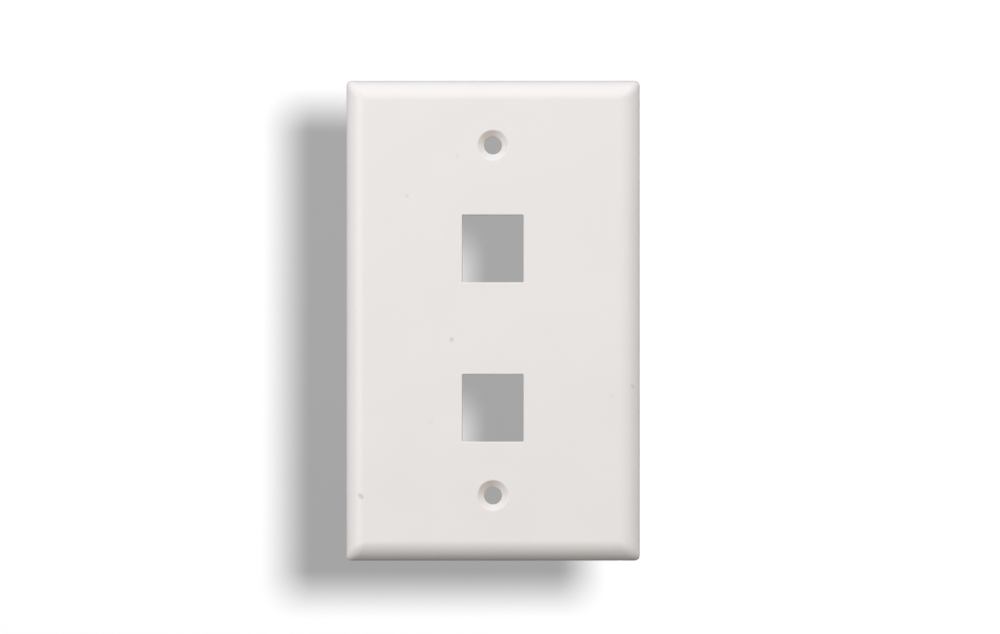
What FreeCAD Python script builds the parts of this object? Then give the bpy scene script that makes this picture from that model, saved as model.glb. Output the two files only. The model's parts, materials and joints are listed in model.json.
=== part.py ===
import FreeCAD, Part

import os
import re

import Sketcher

# Two-port keystone wall plate for a single-gang box, moulded in one piece.
#
# Frame: the origin is at the centre of the wall plane, which the plate's rim and bosses touch.
# +Z is up, +X is to the right of someone who faces the wall, and the front face looks along -Y.
# Sketches on the XZ plane therefore have the front along their own +Z.
#
# Every size is a cell of the sheet, in millimetres and degrees.
DIMENSIONS = {
    "plate_width": 69.85,
    "plate_height": 114.3,
    "rim_height": 1.4,
    "edge_radius": 4.6,
    "corner_radius": 1.2,
    "mitre_radius": 3.0,
    "wall": 2.0,
    "hollow_corner_radius": 0.8,
    "screw_spacing": 83.3,
    "screw_hole_diameter": 4.3,
    "countersink_diameter": 7.25,
    "countersink_angle": 82.0,
    "countersink_lip_radius": 0.35,
    "boss_diameter": 9.0,
    "port_pitch": 37.9,
    "aperture_width": 14.6,
    "aperture_height": 16.0,
    "aperture_corner_radius": 0.3,
    "aperture_lip_radius": 0.25,
    "collar_wall": 1.8,
    "collar_corner_radius": 0.6,
    "latch_ledge": 4.0,
    "latch_window": 4.0,
    "latch_pocket": 5.2,
    "latch_overhang": 2.0,
    "lug_window": 1.5,
    "lug_pocket": 1.4,
    "catch_depth": 2.0,
    "lead_in": 0.6,
    "rib_thickness": 1.2,
    "rib_height": 2.0,
    "ejector_diameter": 4.0,
    "ejector_depth": 0.15,
    "ejector_spacing": 44.0,
    "ejector_pitch": 28.0,
}
NODE = "faceplate"
PORT_COUNT = 2
EJECTOR_ROWS = 4
CUT_MARGIN = 1.0
TOLERANCE = 1e-6

# Formulas on the sheet's cells. A keystone port is laid out from the front face backwards: the ledge
# behind the face, the window that the latch springs into, and the catch bar that holds it.
PLATE_DEPTH = "(rim_height + edge_radius)"
HOLLOW_WIDTH = "(plate_width - 2 * wall)"
HOLLOW_HEIGHT = "(plate_height - 2 * wall)"
HOLLOW_DEPTH = f"({PLATE_DEPTH} - wall)"
CATCH_START = "(latch_ledge + latch_window)"
PORT_DEPTH = f"({CATCH_START} + catch_depth)"
HALF_APERTURE = "(aperture_height / 2)"
UPPER_SIDE = "(latch_pocket + collar_wall)"
LOWER_SIDE = "(lug_pocket + collar_wall)"
COLLAR_HEIGHT = f"(aperture_height + {UPPER_SIDE} + {LOWER_SIDE})"
COLLAR_CENTRE = "(port_pitch / 2)"
APERTURE_CENTRE = f"({COLLAR_CENTRE} + ({LOWER_SIDE} - {UPPER_SIDE}) / 2)"

doc = FreeCAD.newDocument("KeystoneFaceplate")
sheet = doc.addObject("Spreadsheet::Sheet", "Dimensions")


def fill_sheet():
    """Write each dimension's name and value, and give the value's cell the name as its alias."""
    for row, (alias, size) in enumerate(DIMENSIONS.items(), start=1):
        sheet.set(f"A{row}", alias)
        sheet.set(f"B{row}", str(size))
        sheet.setAlias(f"B{row}", alias)
    doc.recompute()


def expression(formula):
    """A formula on the sheet's aliases, as an expression that any object of the document can hold."""
    return re.sub("|".join(rf"\b{alias}\b" for alias in DIMENSIONS), r"Dimensions.\g<0>", formula)


def value(formula):
    """The present value of a formula, for the starting geometry of a sketch and for finding edges."""
    return float(sheet.evalExpression(expression(formula)))


def bind(thing, **formulas):
    """Bind properties of a feature to formulas."""
    for name, formula in formulas.items():
        thing.setExpression(name, expression(formula))


def origin_feature(body, role):
    return next(feature for feature in body.Origin.OriginFeatures if feature.Role == role)


def new_sketch(body, name, plane, right="0", up="0", forward="0"):
    """A sketch parallel to an origin plane, with its own origin moved by three formulas."""
    sketch = body.newObject("Sketcher::SketchObject", name)
    sketch.AttachmentSupport = (origin_feature(body, plane), "")
    sketch.MapMode = "FlatFace"
    for axis, formula in zip("xyz", (right, up, forward)):
        sketch.setExpression(f"AttachmentOffset.Base.{axis}", expression(formula))
    return sketch


def dimension(sketch, kind, places, formula):
    """Add a driving constraint and bind it to a formula."""
    index = sketch.addConstraint(Sketcher.Constraint(kind, *places, value(formula)))
    sketch.setExpression(f"Constraints[{index}]", expression(formula))


def rectangle(sketch, width, height):
    """Draw a rectangle centred on the sketch's origin."""
    x, y = value(width) / 2, value(height) / 2
    corners = [FreeCAD.Vector(-x, -y), FreeCAD.Vector(x, -y), FreeCAD.Vector(x, y), FreeCAD.Vector(-x, y)]
    for i in range(4):
        sketch.addGeometry(Part.LineSegment(corners[i], corners[(i + 1) % 4]))
    for i, direction in enumerate(("Horizontal", "Vertical") * 2):
        sketch.addConstraint(Sketcher.Constraint("Coincident", i, 2, (i + 1) % 4, 1))
        sketch.addConstraint(Sketcher.Constraint(direction, i))
    sketch.addConstraint(Sketcher.Constraint("Symmetric", 0, 1, 2, 1, -1, 1))
    dimension(sketch, "DistanceX", (0, 1, 0, 2), width)
    dimension(sketch, "DistanceY", (1, 1, 1, 2), height)


def rounded_rectangle(sketch, width, height, radius):
    """Draw a rectangle with round corners, centred on the sketch's origin."""
    half_width, half_height, corner = value(width) / 2, value(height) / 2, value(radius)
    flat_x, flat_y = half_width - corner, half_height - corner
    turns = ((flat_x, -flat_y, 270), (flat_x, flat_y, 0), (-flat_x, flat_y, 90), (-flat_x, -flat_y, 180))
    arcs = []
    for x, y, start in turns:
        whole = Part.Circle(FreeCAD.Vector(x, y, 0), FreeCAD.Vector(0, 0, 1), corner)
        first, last = FreeCAD.Units.Quantity(start, "deg"), FreeCAD.Units.Quantity(start + 90, "deg")
        arcs.append(Part.ArcOfCircle(whole, first.getValueAs("rad").Value, last.getValueAs("rad").Value))
    sides = [Part.LineSegment(arcs[i - 1].EndPoint, arcs[i].StartPoint) for i in range(4)]
    # Even numbers are the sides, from the bottom one anticlockwise, and odd ones the corners.
    for side, arc in zip(sides, arcs):
        sketch.addGeometry(side)
        sketch.addGeometry(arc)
    for i in range(8):
        sketch.addConstraint(Sketcher.Constraint("Tangent", i, 2, (i + 1) % 8, 1))
    for side, direction in zip((0, 2, 4, 6), ("Horizontal", "Vertical") * 2):
        sketch.addConstraint(Sketcher.Constraint(direction, side))
    for corner_arc in (3, 5, 7):
        sketch.addConstraint(Sketcher.Constraint("Equal", 1, corner_arc))
    sketch.addConstraint(Sketcher.Constraint("Symmetric", 3, 3, 7, 3, -1, 1))
    dimension(sketch, "DistanceX", (6, 1, 2, 1), width)
    dimension(sketch, "DistanceY", (0, 1, 4, 1), height)
    dimension(sketch, "Radius", (1,), radius)


def circle(sketch, diameter):
    """Draw a circle about the sketch's origin."""
    sketch.addGeometry(Part.Circle(FreeCAD.Vector(), FreeCAD.Vector(0, 0, 1), value(diameter) / 2))
    sketch.addConstraint(Sketcher.Constraint("Coincident", 0, 3, -1, 1))
    dimension(sketch, "Diameter", (0,), diameter)


def circle_pair(sketch, diameter, spacing):
    """Draw two like circles, level with the sketch's origin and one each side of it."""
    for side in (-1, 1):
        centre = FreeCAD.Vector(side * value(spacing) / 2, 0)
        sketch.addGeometry(Part.Circle(centre, FreeCAD.Vector(0, 0, 1), value(diameter) / 2))
    sketch.addConstraint(Sketcher.Constraint("Symmetric", 0, 3, 1, 3, -1, 1))
    sketch.addConstraint(Sketcher.Constraint("Horizontal", 0, 3, 1, 3))
    sketch.addConstraint(Sketcher.Constraint("Equal", 0, 1))
    dimension(sketch, "DistanceX", (0, 3, 1, 3), spacing)
    dimension(sketch, "Diameter", (0,), diameter)


def polygon(sketch, corners):
    """Draw a closed polygon whose corners are each dimensioned from the sketch's origin."""
    points = [FreeCAD.Vector(value(x), value(y), 0) for x, y in corners]
    count = len(points)
    for i in range(count):
        sketch.addGeometry(Part.LineSegment(points[i], points[(i + 1) % count]))
    for i, (x, y) in enumerate(corners):
        sketch.addConstraint(Sketcher.Constraint("Coincident", i, 2, (i + 1) % count, 1))
        dimension(sketch, "DistanceX", (-1, 1, i, 1), x)
        dimension(sketch, "DistanceY", (-1, 1, i, 1), y)


def feature(body, kind, name, profile=None, **formulas):
    """Add a PartDesign feature on a sketch, with its lengths bound to formulas."""
    item = body.newObject(f"PartDesign::{kind}", name)
    if profile is not None:
        item.Profile = profile
    bind(item, **formulas)
    return item


def settle(body, grows):
    """Recompute, and make sure that the body's last feature did add or remove material."""
    before = 0 if body.Shape.isNull() else body.Shape.Volume
    doc.recompute()
    change = body.Shape.Volume - before
    if change * (1 if grows else -1) <= 0:
        raise RuntimeError(f"{body.Tip.Name} changed the volume by {change:.3f}")


def fillet(body, name, radius, wanted):
    """Round those edges of the body for which wanted is true."""
    base = body.Tip
    edges = [f"Edge{i}" for i, edge in enumerate(base.Shape.Edges, start=1) if wanted(edge)]
    rounding = feature(body, "Fillet", name, Radius=radius)
    rounding.Base = (base, edges)


def lies_at_depth(edge, formula):
    """Whether an edge lies in the plane this far in front of the wall."""
    return all(abs(vertex.Y + value(formula)) < TOLERANCE for vertex in edge.Vertexes)


def is_corner(edge, width):
    """Whether an edge runs straight back at the left or right side of this width."""
    ends = [vertex.Point for vertex in edge.Vertexes]
    runs_back = len(ends) == 2 and (ends[1] - ends[0]).cross(FreeCAD.Vector(0, 1, 0)).Length < TOLERANCE
    return runs_back and abs(abs(ends[0].x) - value(width) / 2) < TOLERANCE


def is_mitre(edge):
    """Whether an edge runs from a corner of the rim to a corner of the flat face."""
    ends = [vertex.Point for vertex in edge.Vertexes]
    if len(ends) != 2:
        return False
    span = ends[1] - ends[0]
    return all(abs(abs(length) - value("edge_radius")) < TOLERANCE for length in span)


def make_tray(body):
    """A block with the hollow behind the face. Its outer edges are rounded after the ribs are in."""
    outline = new_sketch(body, "PlateOutline", "XZ_Plane")
    rectangle(outline, "plate_width", "plate_height")
    feature(body, "Pad", "Plate", outline, Length=PLATE_DEPTH)
    settle(body, grows=True)
    hollow = new_sketch(body, "HollowOutline", "XZ_Plane")
    rectangle(hollow, HOLLOW_WIDTH, HOLLOW_HEIGHT)
    feature(body, "Pocket", "Hollow", hollow, Length=HOLLOW_DEPTH).Reversed = True
    settle(body, grows=False)
    fillet(body, "HollowEdge", "edge_radius - wall", lambda edge: lies_at_depth(edge, HOLLOW_DEPTH))
    settle(body, grows=True)
    fillet(body, "HollowCorners", "hollow_corner_radius", lambda edge: is_corner(edge, HOLLOW_WIDTH))
    settle(body, grows=True)


def mirror_about(body, name, originals, role):
    """Repeat features on the other side of an origin plane."""
    mirrored = feature(body, "Mirrored", name)
    mirrored.Originals = originals
    mirrored.MirrorPlane = (origin_feature(body, role), [""])
    body.Tip = mirrored


def repeat_downwards(body, name, originals, pitch, count):
    """Repeat features down the plate, a pitch apart."""
    pattern = feature(body, "LinearPattern", name, Length=f"{pitch} * {count - 1}")
    pattern.Originals = originals
    pattern.Direction = (origin_feature(body, "Z_Axis"), [""])
    pattern.Reversed = True
    pattern.Occurrences = count
    body.Tip = pattern


def make_ribs(body):
    """A spine down the middle, and a rib across each port, which the collars later interrupt."""
    base = f"{HOLLOW_DEPTH} - rib_height"
    buried = "rib_height + wall / 2"
    spine = new_sketch(body, "SpineOutline", "XZ_Plane", forward=base)
    rectangle(spine, "rib_thickness", f"{HOLLOW_HEIGHT} + wall")
    feature(body, "Pad", "Spine", spine, Length=buried)
    settle(body, grows=True)
    cross = new_sketch(body, "CrossRibOutline", "XZ_Plane", up=COLLAR_CENTRE, forward=base)
    rectangle(cross, f"{HOLLOW_WIDTH} + wall", "rib_thickness")
    rib = feature(body, "Pad", "CrossRib", cross, Length=buried)
    settle(body, grows=True)
    mirror_about(body, "CrossRibs", [rib], "XY_Plane")
    settle(body, grows=True)


def roll_outer_edge(body):
    """Roll the front edge over at an even wall, which leaves a mitre at each corner."""
    fillet(body, "RolledEdge", "edge_radius", lambda edge: lies_at_depth(edge, PLATE_DEPTH))
    settle(body, grows=False)


def make_bosses(body):
    """The screw bosses, which reach the wall plane so that the screws can't bend the face."""
    outline = new_sketch(body, "BossOutline", "XZ_Plane", up="screw_spacing / 2")
    circle(outline, "boss_diameter")
    boss = feature(body, "Pad", "Boss", outline, Length=f"{HOLLOW_DEPTH} + wall / 2")
    settle(body, grows=True)
    mirror_about(body, "Bosses", [boss], "XY_Plane")
    settle(body, grows=True)


def make_ports(body):
    """The keystone sockets: collar, aperture, and the spaces for a jack's latch and fixed lug."""
    collar_outline = new_sketch(
        body, "CollarOutline", "XZ_Plane", up=COLLAR_CENTRE, forward=f"{PLATE_DEPTH} - {PORT_DEPTH}"
    )
    rounded_rectangle(collar_outline, "aperture_width + 2 * collar_wall", COLLAR_HEIGHT, "collar_corner_radius")
    collar = feature(body, "Pad", "Collar", collar_outline, Length=f"{PORT_DEPTH} - wall / 2")
    settle(body, grows=True)

    aperture_outline = new_sketch(body, "ApertureOutline", "XZ_Plane", up=APERTURE_CENTRE, forward=PLATE_DEPTH)
    rounded_rectangle(aperture_outline, "aperture_width", "aperture_height", "aperture_corner_radius")
    aperture = feature(body, "Pocket", "Aperture", aperture_outline, Length=PORT_DEPTH)
    settle(body, grows=False)

    # Section through the socket, seen along -X: across is the distance behind the front face, and up is
    # the height above the middle of the aperture. The latch goes through the top, the lug through the bottom.
    socket_outline = new_sketch(body, "SocketSection", "YZ_Plane", right=f"-{PLATE_DEPTH}", up=APERTURE_CENTRE)
    top = f"{HALF_APERTURE} + {UPPER_SIDE} + {CUT_MARGIN}"
    bottom = f"-{HALF_APERTURE} - {LOWER_SIDE} - {CUT_MARGIN}"
    catch_tip = f"{HALF_APERTURE} + latch_pocket - latch_overhang"
    behind = f"{PORT_DEPTH} + {CUT_MARGIN}"
    polygon(
        socket_outline,
        [
            ("latch_ledge", top),
            (CATCH_START, top),
            (CATCH_START, catch_tip),
            (PORT_DEPTH, f"{catch_tip} + lead_in"),
            (behind, f"{catch_tip} + lead_in"),
            (behind, f"-{HALF_APERTURE} - lead_in"),
            (PORT_DEPTH, f"-{HALF_APERTURE} - lead_in"),
            (f"{PORT_DEPTH} - lead_in", f"-{HALF_APERTURE}"),
            (CATCH_START, f"-{HALF_APERTURE}"),
            (CATCH_START, bottom),
            (f"{CATCH_START} - lug_window", bottom),
            (f"{CATCH_START} - lug_window", f"-{HALF_APERTURE}"),
            ("latch_ledge", f"-{HALF_APERTURE}"),
        ],
    )
    socket = feature(body, "Pocket", "Socket", socket_outline, Length="aperture_width")
    socket.SideType = "Symmetric"
    settle(body, grows=False)

    repeat_downwards(body, "Ports", [collar, aperture, socket], "port_pitch", PORT_COUNT)
    settle(body, grows=True)


def make_screw_holes(body):
    """The countersunk clearance holes through the face and its bosses."""
    centre = new_sketch(body, "ScrewHoleCentre", "XZ_Plane", up="screw_spacing / 2", forward=PLATE_DEPTH)
    circle(centre, "screw_hole_diameter")
    doc.recompute()
    hole = feature(body, "Hole", "ScrewHole", centre, Diameter="screw_hole_diameter")
    hole.DepthType = "ThroughAll"
    hole.HoleCutType = "Countersink"
    bind(hole, HoleCutDiameter="countersink_diameter", HoleCutCountersinkAngle="countersink_angle")
    settle(body, grows=False)
    mirror_about(body, "ScrewHoles", [hole], "XY_Plane")
    settle(body, grows=False)


def soften_lips(body):
    """Round the front edges of the countersinks and of the apertures, as a mould leaves them."""
    half_face = value("plate_width") / 2 - value("edge_radius")

    def is_lip(edge, is_round):
        inside = all(abs(vertex.X) < half_face - TOLERANCE for vertex in edge.Vertexes)
        return inside and lies_at_depth(edge, PLATE_DEPTH) and edge.isClosed() == is_round

    fillet(body, "CountersinkLips", "countersink_lip_radius", lambda edge: is_lip(edge, is_round=True))
    settle(body, grows=False)
    fillet(body, "ApertureLips", "aperture_lip_radius", lambda edge: is_lip(edge, is_round=False))
    settle(body, grows=False)


def make_ejector_marks(body):
    """The faint round marks that the ejector pins leave on the back of the face."""
    top_row = f"ejector_pitch * {EJECTOR_ROWS - 1} / 2"
    outline = new_sketch(body, "EjectorOutline", "XZ_Plane", up=top_row, forward=HOLLOW_DEPTH)
    circle_pair(outline, "ejector_diameter", "ejector_spacing")
    marks = feature(body, "Pocket", "EjectorMarks", outline, Length="ejector_depth")
    marks.Reversed = True
    settle(body, grows=False)
    repeat_downwards(body, "EjectorRows", [marks], "ejector_pitch", EJECTOR_ROWS)
    settle(body, grows=False)


def round_corners(body):
    """Round the rim's corners, and each mitre in front of them more and more broadly up to the face."""
    at_rim, at_face = value("corner_radius"), value("mitre_radius")
    rounded = []
    for i, edge in enumerate(body.Shape.Edges, start=1):
        if is_corner(edge, "plate_width"):
            rounded.append((i, at_rim, at_rim))
        elif is_mitre(edge):
            first, last = edge.Vertexes
            rounded.append((i, at_rim, at_face) if first.Y > last.Y else (i, at_face, at_rim))
    corners = doc.addObject("Part::Fillet", "RoundedCorners")
    corners.Base = body
    corners.Edges = rounded
    corners.Label = NODE
    doc.recompute()
    return corners


def check_document(part):
    """Stop if any object failed to compute, or if the part isn't one valid solid."""
    for item in doc.Objects:
        if {"Invalid", "Error"} & set(item.State):
            raise RuntimeError(f"{item.Name} failed: {item.State}")
    if part.Shape.isNull() or not part.Shape.isValid() or len(part.Shape.Solids) != 1:
        raise RuntimeError(f"{part.Label} isn't one valid solid")


def export(part):
    os.makedirs("parts", exist_ok=True)
    part.Shape.exportStep(f"parts/{part.Label}.step")


fill_sheet()
moulding = doc.addObject("PartDesign::Body", "Moulding")
make_tray(moulding)
make_ribs(moulding)
roll_outer_edge(moulding)
make_bosses(moulding)
make_ports(moulding)
make_screw_holes(moulding)
make_ejector_marks(moulding)
soften_lips(moulding)
faceplate = round_corners(moulding)
check_document(faceplate)
export(faceplate)
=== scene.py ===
import json
import math

import bpy
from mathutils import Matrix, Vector


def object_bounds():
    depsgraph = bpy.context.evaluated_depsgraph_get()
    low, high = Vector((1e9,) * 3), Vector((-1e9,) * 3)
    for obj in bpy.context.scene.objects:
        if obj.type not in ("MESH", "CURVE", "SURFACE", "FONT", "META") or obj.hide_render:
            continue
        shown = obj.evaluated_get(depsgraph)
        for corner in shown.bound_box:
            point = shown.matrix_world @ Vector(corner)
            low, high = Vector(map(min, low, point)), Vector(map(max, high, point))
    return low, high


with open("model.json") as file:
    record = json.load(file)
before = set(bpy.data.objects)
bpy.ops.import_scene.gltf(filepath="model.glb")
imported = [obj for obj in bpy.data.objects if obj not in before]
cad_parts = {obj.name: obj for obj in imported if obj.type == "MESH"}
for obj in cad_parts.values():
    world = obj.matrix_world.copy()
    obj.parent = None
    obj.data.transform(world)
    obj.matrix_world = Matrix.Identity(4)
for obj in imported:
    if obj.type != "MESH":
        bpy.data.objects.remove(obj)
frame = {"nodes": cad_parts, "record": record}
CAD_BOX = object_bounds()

bl_info = {
    "name": "Keystone faceplate",
    "version": (1, 0, 0),
    "blender": (4, 5, 0),
    "location": "3D View > Sidebar > Faceplate",
    "description": "Moulded plastic finish and a studio for a two-port keystone faceplate",
    "category": "Object",
}

# Lengths are in metres. The plate's front looks along -Y, +Z is up and the wall plane is Y = 0.
MM = 0.001
BOX_LOW, BOX_HIGH = CAD_BOX
HALF_WIDTH, HALF_HEIGHT = BOX_HIGH.x, BOX_HIGH.z
FRONT = BOX_LOW.y
# The radius that the front's edges are rolled to, and the thickness of the moulding's wall.
EDGE_RADIUS = 4.6 * MM
WALL = 2.0 * MM
# How far each screw is above or below the plate's centre.
SCREWS = next(mount for mount in frame["record"]["mounts"] if mount["name"] == "wall_screws")
SCREW_RISE = SCREWS["dims"]["spacing_y_mm"] / 2 * MM
PICTURE_ASPECT = 1000 / 634

PLASTIC_IOR = 1.52
# How much rougher the back is than the front, and how many grain depths are added to its grain.
BACK_ROUGHNESS = 0.1
BACK_GRAIN = 2
# The width of the soft change from the front's surface to the back's.
BACK_EASE = 0.2 * MM

# The painted warm shade in each countersink: its middle to the right of the screw's axis, behind the front
# face and above the axis, how far it reaches, and the depths between which it sets in.
SHADE_CENTRE = (-1.3 * MM, 1.2 * MM, 2.3 * MM)
SHADE_REACH = 3.6 * MM
SHADE_DEPTHS = (0.1 * MM, 0.4 * MM)

# Specks and scuffs on the front, in millimetres: name, place across and up from the plate's centre, length,
# width, turn of the length from level in degrees, and how strongly each takes the colour of the dirt.
MARKS = (
    ("speck_between_ports", -9.82, -4.56, 1.65, 1.65, 0, 0.4),
    ("scuff_on_lower_left_roll", -31.4, -41.8, 2.6, 1.5, -42, 0.52),
    ("speck_on_right_roll", 33.25, -15.7, 1.65, 1.65, 0, 0.28),
    ("smudge_upper_left", -20.45, 29.7, 1.5, 1.5, 0, 0.19),
    ("smudge_beside_upper_screw", -8.45, 39.2, 1.6, 1.6, 0, 0.14),
    ("smudge_lower_left", -14.8, -24.3, 2.0, 1.7, 0, 0.09),
    ("smudge_lower_right", 28.3, -18.1, 1.5, 1.5, 0, 0.1),
)
# How deep a mark reaches into the plastic, how ragged its rim is and at what size, and how much rougher the
# mark is than the plastic round it.
MARK_DEPTH = 1.15 * MM
MARK_RAGGEDNESS = 0.35
MARK_GRAIN = 0.5 * MM
MARK_ROUGHNESS = 0.15

# The lamp whose only work is the plate's soft shadow on the backdrop, low to the left.
SHADOW_LAMP_PLACE = (0.308, -2.0, 0.124)
SHADOW_LAMP_SIZE = 0.245

# Soft boxes: name, place, size, share of the power that the studio's settings give, and colour.
LAMPS = (
    ("key_left", (-0.9, -0.8, 0.2), 0.7, 0.286, (1.0, 1.0, 1.0)),
    ("soft_left", (-0.55, -0.85, 0.1), 0.3, 0.072, (1.0, 1.0, 1.0)),
    ("top_front", (0, -0.9, 0.6), 0.5, 0.083, (0.95, 0.975, 1.0)),
    ("top_right", (0.5, -0.7, 0.9), 0.9, 0.342, (0.97, 0.99, 1.0)),
    ("front_fill", (0, -1.2, 0.1), 0.75, 0.137, (1.0, 0.98, 0.957)),
    ("right_fill", (0.9, -0.8, 0.2), 0.7, 0.088, (1.0, 0.96, 0.9)),
)

# The lamp for the back. It keeps within the plate's outline, where the rolled edges don't see it, and above
# and to the left of the ports, where it doesn't graze the walls that the camera sees in them.
REAR_LAMP_PLACE = (-0.021, 0.22, 0.041)
REAR_LAMP_SIZE = 0.027

# How far the floor and the backdrop reach to each side of the plate's centre.
FLOOR_REACH = 8.0
BACKDROP_REACH = 1.2


class Wire:
    """A number that varies over a surface. Arithmetic on it adds Math nodes to its material."""

    def __init__(self, paint, socket):
        self.paint = paint
        self.socket = socket

    def maths(self, operation, *values):
        return self.paint.node("ShaderNodeMath", {"operation": operation}, dict(enumerate(values)))

    def __add__(self, other):
        return self.maths("ADD", self, other)

    def __sub__(self, other):
        return self.maths("SUBTRACT", self, other)

    def __rsub__(self, other):
        return self.maths("SUBTRACT", other, self)

    def __mul__(self, other):
        return self.maths("MULTIPLY", self, other)

    def __abs__(self):
        return self.maths("ABSOLUTE", self)

    __radd__ = __add__
    __rmul__ = __mul__

    def larger(self, other):
        return self.maths("MAXIMUM", self, other)

    def smaller(self, other):
        return self.maths("MINIMUM", self, other)

    def ramp(self, start, end):
        """0 at start and 1 at end, eased between them."""
        settings = {"interpolation_type": "SMOOTHSTEP"}
        inputs = {"Value": self, "From Min": start, "From Max": end}
        return self.paint.node("ShaderNodeMapRange", settings, inputs)


class Paint:
    """The node tree of a material or of the world, built by name."""

    def __init__(self, owner):
        self.owner = owner
        owner.use_nodes = True
        self.tree = owner.node_tree
        self.tree.nodes.clear()

    def node(self, kind, settings=None, inputs=None, output=0):
        """Add a node, with its settings first and then its sockets' values or links. Return one output."""
        node = self.tree.nodes.new(kind)
        for name, value in (settings or {}).items():
            setattr(node, name, value)
        for key, value in (inputs or {}).items():
            if isinstance(value, Wire):
                self.tree.links.new(value.socket, node.inputs[key])
            else:
                node.inputs[key].default_value = value
        return Wire(self, node.outputs[output]) if node.outputs else None

    def place(self):
        return self.node("ShaderNodeTexCoord", output="Object")

    def axes(self, vector):
        """The three coordinates of a vector."""
        first = self.node("ShaderNodeSeparateXYZ", None, {"Vector": vector})
        return [Wire(self, socket) for socket in first.socket.node.outputs]

    def noise(self, vector, size, detail=2.0, roughness=0.5):
        """Soft noise from 0 to 1 whose bumps are about this size across."""
        inputs = {"Vector": vector, "Scale": 1 / size, "Detail": detail, "Roughness": roughness}
        return self.node("ShaderNodeTexNoise", None, inputs)

    def mix_colour(self, factor, first, second):
        settings = {"data_type": "RGBA"}
        return self.node("ShaderNodeMix", settings, {"Factor": factor, 6: first, 7: second}, output=2)

    def seen_from_front(self, shader):
        """The shader on a face's front, and nothing at all on its back."""
        clear = self.node("ShaderNodeBsdfTransparent")
        behind = self.node("ShaderNodeNewGeometry", output="Backfacing")
        return self.node("ShaderNodeMixShader", None, {0: behind, 1: shader, 2: clear})

    def finish(self, shader):
        self.node("ShaderNodeOutputMaterial", None, {"Surface": shader})
        return self.owner


def new_paint(name):
    """An empty node tree in a material of this name."""
    return Paint(bpy.data.materials.new(name))


def front_at(across, up):
    """The Y of the front surface at a place on the plate, flat or rolled."""
    inset = max(abs(across) - HALF_WIDTH, abs(up) - HALF_HEIGHT) + EDGE_RADIUS
    drop = EDGE_RADIUS - math.sqrt(EDGE_RADIUS**2 - max(inset, 0) ** 2)
    return FRONT + drop


def ball_mask(paint, place, centre, radii, turn=0):
    """1 in the middle of an egg-shaped space, falling to 0 at its rim. It turns about Y, in degrees."""
    inputs = {"Vector": place, "Location": centre, "Rotation": (0, -math.radians(turn), 0), "Scale": radii}
    local = paint.node("ShaderNodeMapping", {"vector_type": "TEXTURE"}, inputs)
    return paint.node("ShaderNodeTexGradient", {"gradient_type": "SPHERICAL"}, {"Vector": local}, output=1)


def marks_mask(paint, place):
    """How dirty the front is, from the marks and the ragged rim that each has."""
    ragged = paint.noise(place, MARK_GRAIN, detail=3)
    dirt = None
    for _name, across, up, length, width, turn, strength in MARKS:
        across, up = across * MM, up * MM
        radii = (length / 2 * MM, MARK_DEPTH, width / 2 * MM)
        spot = ball_mask(paint, place, (across, front_at(across, up), up), radii, turn)
        spot = (spot * 1.6 - ragged * MARK_RAGGEDNESS).ramp(0.0, 0.8) * strength
        dirt = spot if dirt is None else dirt.larger(spot)
    return dirt


def painted_shade_mask(paint, place, y):
    """Painted shade: 1 on the upper left of each countersink, where the plastic lies in its own shade."""
    right, behind, above = SHADE_CENTRE
    balls = []
    for screw in (SCREW_RISE, -SCREW_RISE):
        centre = (right, FRONT + behind, screw + above)
        balls.append(ball_mask(paint, place, centre, (SHADE_REACH, SHADE_REACH, SHADE_REACH)).ramp(0.0, 0.5))
    upper, lower = balls
    return upper.larger(lower) * (y - FRONT).ramp(*SHADE_DEPTHS)


def behind_face(paint, x, y, z):
    """1 on the surfaces that the core of the mould formed: the hollow, its ribs, bosses and sockets."""
    inside = (HALF_WIDTH - WALL / 2 - abs(x)).smaller(HALF_HEIGHT - WALL / 2 - abs(z))
    return inside.smaller(y - (FRONT + WALL / 2)).ramp(0.0, BACK_EASE)


def white_plastic(look):
    """Satin white moulding: fine grain, uneven gloss, a matter back, painted countersink shade and a few
    specks.
    """
    paint = new_paint("white_plastic_moulding")
    place = paint.place()
    x, y, z = paint.axes(place)
    back = behind_face(paint, x, y, z)
    broad = paint.noise(place, look.cloud_size, detail=3)
    grain = paint.noise(place, look.grain_size, detail=4, roughness=0.6)
    swell = paint.noise(place, look.swell_size, detail=1)
    dirt = marks_mask(paint, place)

    clean = paint.mix_colour(broad.ramp(0.3, 0.7), tuple(look.shade), tuple(look.colour))
    # Painted shade: the countersinks' upper left is painted warmer and darker than the plastic.
    clean = paint.mix_colour(painted_shade_mask(paint, place, y), clean, tuple(look.painted_shade_colour))
    colour = paint.mix_colour(dirt, clean, tuple(look.dirt))
    drift = (broad - 0.5) * look.gloss_variation
    roughness = look.roughness + drift + back * BACK_ROUGHNESS + dirt * MARK_ROUGHNESS
    height = grain * look.grain_depth * (1 + back * BACK_GRAIN) + swell * look.swell_depth
    normal = paint.node("ShaderNodeBump", None, {"Strength": 1.0, "Distance": 1.0, "Height": height})
    inputs = {
        "Base Color": colour,
        "Roughness": roughness,
        "Normal": normal,
        "IOR": PLASTIC_IOR,
    }
    return paint.finish(paint.node("ShaderNodeBsdfPrincipled", None, inputs))


def seamless_screen(stage):
    """The backdrop: it glows evenly, takes the shadow lamp's light, and can't be seen from behind."""
    paint = new_paint("backdrop_screen")
    glow = paint.node("ShaderNodeEmission", None, {"Strength": stage.shadow_level})
    surface = paint.node("ShaderNodeBsdfDiffuse", None, {"Color": (*[stage.screen_albedo] * 3, 1)})
    front = paint.node("ShaderNodeAddShader", None, {0: glow, 1: surface})
    return paint.finish(paint.seen_from_front(front))


def pale_floor(stage):
    """The floor, which glows a little to stay pale and can't be seen from below."""
    paint = new_paint("floor_paint")
    inputs = {
        "Base Color": (0.8, 0.8, 0.8, 1),
        "Roughness": 0.8,
        "Emission Color": (1, 1, 1, 1),
        "Emission Strength": stage.floor_glow,
    }
    return paint.finish(paint.seen_from_front(paint.node("ShaderNodeBsdfPrincipled", None, inputs)))


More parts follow.
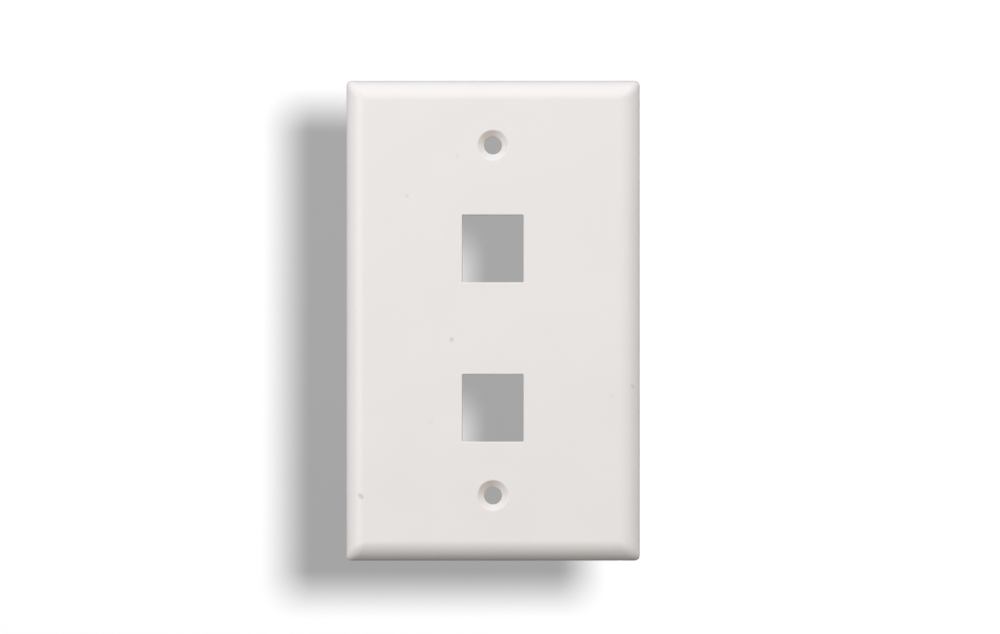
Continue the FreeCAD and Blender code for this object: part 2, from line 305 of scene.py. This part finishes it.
def sheet_of(name, corners, material):
    """A single flat face of the stage, which the lamps reach through and which tints nothing."""
    mesh = bpy.data.meshes.new(name)
    mesh.from_pydata(corners, [], [tuple(range(len(corners)))])
    mesh.materials.append(material)
    sheet = bpy.data.objects.new(name, mesh)
    sheet.visible_shadow = sheet.visible_diffuse = sheet.visible_glossy = False
    bpy.context.scene.collection.objects.link(sheet)
    return sheet


def soft_box(name, place, size, power, colour=(1.0, 1.0, 1.0)):
    """A square area lamp that looks at the plate and isn't seen itself."""
    lamp = bpy.data.lights.new(name, "AREA")
    lamp.size = size
    lamp.energy = power
    lamp.color = colour
    box = bpy.data.objects.new(name, lamp)
    box.location = place
    box.rotation_euler = (-Vector(place)).to_track_quat("-Z", "Y").to_euler()
    box.visible_camera = False
    bpy.context.scene.collection.objects.link(box)
    return box


def light_only(lamp, thing):
    """Let a lamp light one thing and nothing else."""
    lit = bpy.data.collections.new(f"{lamp.name}_receivers")
    lit.objects.link(thing)
    lamp.light_linking.receiver_collection = lit


def studio_world(stage):
    """Seen directly the surroundings are white, and as light each side of the room has its own colour."""
    world = bpy.data.worlds.new("studio")
    bpy.context.scene.world = world
    paint = Paint(world)
    x, y, z = paint.axes(paint.node("ShaderNodeTexCoord", output="Generated"))
    sides = (
        (0 - x, stage.sky_left),
        (x, stage.sky_right),
        (0 - y, stage.sky_front),
        (y, stage.sky_back),
        (z, stage.sky_above),
        (0 - z, stage.sky_below),
    )
    sky = None
    for height, colour in sides:
        facing = height.larger(0)
        inputs = {0: colour, "Scale": facing * facing}
        part = paint.node("ShaderNodeVectorMath", {"operation": "SCALE"}, inputs)
        sky = part if sky is None else paint.node("ShaderNodeVectorMath", None, {0: sky, 1: part})
    seen = paint.node("ShaderNodeLightPath", output="Is Camera Ray")
    light = paint.node("ShaderNodeBackground", None, {"Color": paint.mix_colour(seen, sky, (1, 1, 1, 1))})
    paint.node("ShaderNodeOutputWorld", None, {"Surface": light})


def add_camera(stage):
    """A long lens, a little to the right of the plate and a little below it."""
    turn, tilt = stage.azimuth, stage.elevation
    back = Vector((math.sin(turn) * math.cos(tilt), -math.cos(turn) * math.cos(tilt), math.sin(tilt)))
    rotation = (-back).to_track_quat("-Z", "Y")
    right, up = rotation @ Vector((1, 0, 0)), rotation @ Vector((0, 1, 0))
    data = bpy.data.cameras.new("camera")
    data.lens = stage.lens
    distance = stage.view_height * PICTURE_ASPECT * data.lens / data.sensor_width
    aim = Vector((0, FRONT, 0)) + right * stage.aim_right + up * stage.aim_up
    camera = bpy.data.objects.new("camera", data)
    camera.rotation_euler = rotation.to_euler()
    camera.location = aim + back * distance
    bpy.context.scene.collection.objects.link(camera)
    bpy.context.scene.camera = camera


def sky_colour(where, colour):
    """The colour of the soft light from one side of the room."""
    return bpy.props.FloatVectorProperty(
        name=f"Light from {where}", description=f"Colour and brightness of the soft light from {where}",
        subtype="COLOR", min=0, default=colour,
    )


class PlasticLook(bpy.types.PropertyGroup):
    """The moulding's colours and the sizes of its surface detail."""

    colour: bpy.props.FloatVectorProperty(
        name="Plastic", description="The moulding's own colour", size=4, subtype="COLOR",
        min=0, max=1, default=(0.84, 0.805, 0.787, 1),
    )
    shade: bpy.props.FloatVectorProperty(
        name="Plastic, warmer", description="The colour that faint clouds in the plastic lean to", size=4,
        subtype="COLOR", min=0, max=1, default=(0.83, 0.792, 0.77, 1),
    )
    # Painted shade: the colour painted on the countersinks' shaded side, not a colour of the plastic.
    painted_shade_colour: bpy.props.FloatVectorProperty(
        name="Plastic in countersinks", description="The colour on the countersinks' shaded side", size=4,
        subtype="COLOR", min=0, max=1, default=(0.83, 0.757, 0.695, 1),
    )
    dirt: bpy.props.FloatVectorProperty(
        name="Dirt", description="The colour of specks and scuffs", size=4, subtype="COLOR",
        min=0, max=1, default=(0.49, 0.455, 0.44, 1),
    )
    roughness: bpy.props.FloatProperty(
        name="Roughness", description="Satin finish of the front", default=0.4,
        min=0, max=1, subtype="FACTOR",
    )
    gloss_variation: bpy.props.FloatProperty(
        name="Uneven gloss", description="How far roughness drifts over the plate", default=0.08,
        min=0, max=1,
    )
    cloud_size: bpy.props.FloatProperty(
        name="Clouds", description="Size of the drifts in colour and gloss", default=18 * MM, unit="LENGTH",
    )
    grain_size: bpy.props.FloatProperty(
        name="Grain", description="Size of the mould's fine texture", default=0.35 * MM, unit="LENGTH",
    )
    grain_depth: bpy.props.FloatProperty(
        name="Grain depth", description="Height of the fine texture", default=0.004 * MM, unit="LENGTH",
    )
    swell_size: bpy.props.FloatProperty(
        name="Swell", description="Size of the slow waves that cooling leaves", default=9 * MM,
        unit="LENGTH",
    )
    swell_depth: bpy.props.FloatProperty(
        name="Swell depth", description="Height of the slow waves", default=0.02 * MM, unit="LENGTH",
    )


class StudioLook(bpy.types.PropertyGroup):
    """The studio: camera, backdrop, floor and lamps."""

    azimuth: bpy.props.FloatProperty(
        name="Camera turn", description="How far the camera stands to the right", default=math.radians(0.5),
        subtype="ANGLE",
    )
    elevation: bpy.props.FloatProperty(
        name="Camera tilt", description="How far the camera stands above level", default=math.radians(-0.8),
        subtype="ANGLE",
    )
    lens: bpy.props.FloatProperty(name="Lens", description="Focal length in millimetres", default=400)
    view_height: bpy.props.FloatProperty(
        name="View height", description="Height of the view at the plate", default=150.77 * MM,
        unit="LENGTH",
    )
    aim_right: bpy.props.FloatProperty(
        name="Aim right", description="Aim to the right of the plate's centre", default=1.69 * MM,
        unit="LENGTH",
    )
    aim_up: bpy.props.FloatProperty(
        name="Aim up", description="Aim above the plate's centre", default=0.79 * MM, unit="LENGTH",
    )
    screen_gap: bpy.props.FloatProperty(
        name="Backdrop distance", description="Space from the wall plane to the backdrop", default=0.1,
        unit="LENGTH",
    )
    screen_albedo: bpy.props.FloatProperty(
        name="Backdrop albedo", description="Share of light that the backdrop returns", default=0.1,
    )
    shadow_level: bpy.props.FloatProperty(
        name="Shadow brightness", description="Brightness of the backdrop in full shadow", default=0.288,
    )
    shadow_power: bpy.props.FloatProperty(
        name="Shadow lamp", description="Power of the lamp that casts the plate's shadow", default=290.0,
        unit="POWER",
    )
    floor_drop: bpy.props.FloatProperty(
        name="Floor drop", description="Space from the plate's lowest edge to the floor", default=0.09,
        unit="LENGTH",
    )
    floor_glow: bpy.props.FloatProperty(
        name="Floor glow", description="Light that the floor gives off itself", default=0.45,
    )
    sky_left: sky_colour("left of the plate", (0.588, 0.591, 0.609))
    sky_right: sky_colour("right of the plate", (0.579, 0.569, 0.555))
    sky_front: sky_colour("in front of the plate", (0.005, 0.004, 0.003))
    sky_back: sky_colour("behind the plate", (0.061, 0.068, 0.075))
    sky_above: sky_colour("above the plate", (0.535, 0.569, 0.604))
    sky_below: sky_colour("below the plate", (0.132, 0.119, 0.098))
    lamp_power: bpy.props.FloatProperty(
        name="Lamps", description="Power that the soft boxes in front share", default=16.06, unit="POWER",
    )
    rear_power: bpy.props.FloatProperty(
        name="Rear lamp", description="Power of the soft box behind the plate", default=0.34, unit="POWER",
    )


class FACEPLATE_OT_finish_plate(bpy.types.Operator):
    """Give the moulded faceplate its white plastic finish"""

    bl_idname = "faceplate.finish_plate"
    bl_label = "Finish the faceplate"

    def execute(self, context):
        plate = frame["nodes"]["faceplate"]
        material = white_plastic(context.scene.faceplate_plastic)
        for slot in plate.material_slots:
            slot.material = material
        return {"FINISHED"}


class FACEPLATE_OT_build_studio(bpy.types.Operator):
    """Set up the backdrop, the floor, the lamps and the camera"""

    bl_idname = "faceplate.build_studio"
    bl_label = "Build the studio"

    def execute(self, context):
        stage = context.scene.faceplate_studio
        floor_level = BOX_LOW.z - stage.floor_drop
        backdrop_corners = [
            (-BACKDROP_REACH, stage.screen_gap, floor_level),
            (BACKDROP_REACH, stage.screen_gap, floor_level),
            (BACKDROP_REACH, stage.screen_gap, BACKDROP_REACH),
            (-BACKDROP_REACH, stage.screen_gap, BACKDROP_REACH),
        ]
        floor_corners = [
            (-FLOOR_REACH, -FLOOR_REACH, floor_level),
            (FLOOR_REACH, -FLOOR_REACH, floor_level),
            (FLOOR_REACH, FLOOR_REACH, floor_level),
            (-FLOOR_REACH, FLOOR_REACH, floor_level),
        ]
        backdrop = sheet_of("backdrop", backdrop_corners, seamless_screen(stage))
        sheet_of("floor", floor_corners, pale_floor(stage))
        add_camera(stage)
        shadow_lamp = soft_box("shadow_lamp", SHADOW_LAMP_PLACE, SHADOW_LAMP_SIZE, stage.shadow_power)
        shadow_lamp.data.shape = "DISK"
        light_only(shadow_lamp, backdrop)
        for name, place, size, share, colour in LAMPS:
            soft_box(name, place, size, share * stage.lamp_power, colour)
        rear_lamp = soft_box("rear", REAR_LAMP_PLACE, REAR_LAMP_SIZE, stage.rear_power)
        rear_lamp.visible_glossy = False
        studio_world(stage)
        context.scene.view_settings.view_transform = "Standard"
        return {"FINISHED"}


class FACEPLATE_PT_panel(bpy.types.Panel):
    """Lists the steps and their settings."""

    bl_label = "Keystone faceplate"
    bl_space_type = "VIEW_3D"
    bl_region_type = "UI"
    bl_category = "Faceplate"

    def draw(self, context):
        for operator, settings in STEPS:
            self.layout.operator(operator.bl_idname)
            group = getattr(context.scene, settings)
            for name in group.bl_rna.properties.keys():
                if name not in ("rna_type", "name"):
                    self.layout.prop(group, name)


STEPS = (
    (FACEPLATE_OT_finish_plate, "faceplate_plastic"),
    (FACEPLATE_OT_build_studio, "faceplate_studio"),
)
CLASSES = (PlasticLook, StudioLook, FACEPLATE_OT_finish_plate, FACEPLATE_OT_build_studio, FACEPLATE_PT_panel)


def register():
    for cls in CLASSES:
        bpy.utils.register_class(cls)
    bpy.types.Scene.faceplate_plastic = bpy.props.PointerProperty(type=PlasticLook)
    bpy.types.Scene.faceplate_studio = bpy.props.PointerProperty(type=StudioLook)


def unregister():
    del bpy.types.Scene.faceplate_studio
    del bpy.types.Scene.faceplate_plastic
    for cls in reversed(CLASSES):
        bpy.utils.unregister_class(cls)


def main():
    register()
    bpy.ops.faceplate.finish_plate()
    bpy.ops.faceplate.build_studio()


if __name__ == "__main__":
    main()
